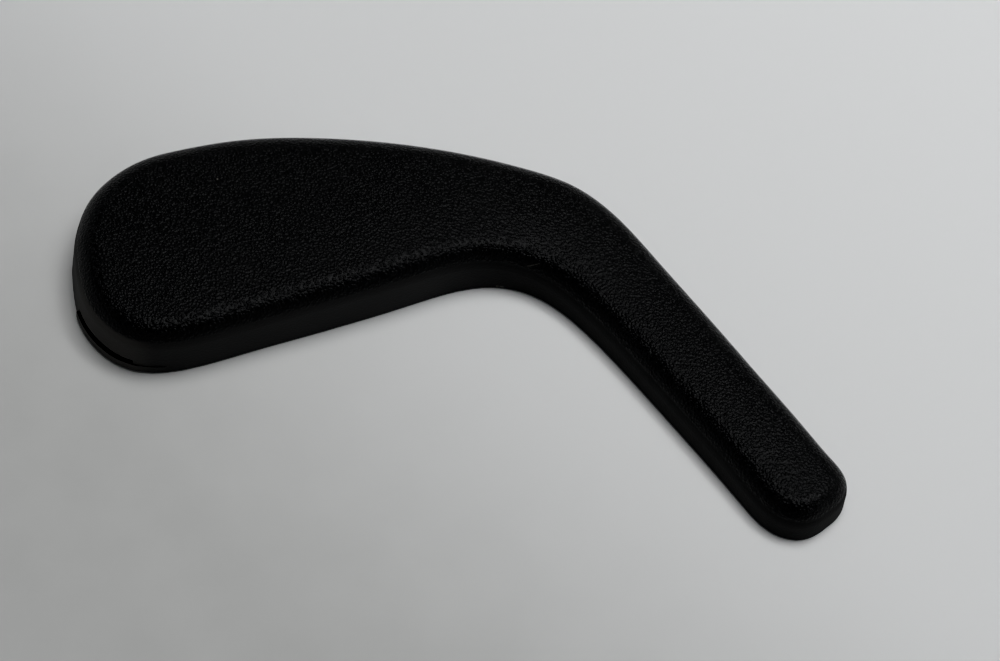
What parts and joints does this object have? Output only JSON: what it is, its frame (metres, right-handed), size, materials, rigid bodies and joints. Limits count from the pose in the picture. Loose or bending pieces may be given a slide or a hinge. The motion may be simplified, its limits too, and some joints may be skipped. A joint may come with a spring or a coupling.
{
  "type": "car seat recliner lever",
  "caption": "Bent black plastic lever with a rounded teardrop head, a splined hub socket underneath and a straight finger grip; a sliding spring clip locks it on its shaft.",
  "frame": {"origin": "on the hub axis, in the plane of the skirt's lower rim, at the mouth of the hub bore", "axes": "+Z along the hub axis towards the visible outer face; +X from the hub towards the finger grip, along the lever's length; +Y towards the back of the bend"},
  "size_m": [0.1768, 0.0756, 0.015],
  "materials": {
    "grained_black_plastic": "fine leather grain, satin sheen, near black",
    "spring_steel": "plain rolled spring strip, lightly oiled"
  },
  "bodies": {
    "lever": {"lever_body": "grained_black_plastic"},
    "clip": {"retaining_clip": "spring_steel"}
  },
  "joints": [
    {"name": "clip_slide", "type": "slide", "parent": "lever", "child": "clip", "axis": [-0.592, -0.8059, 0], "range_m": [0, 0.01]}
  ]
}
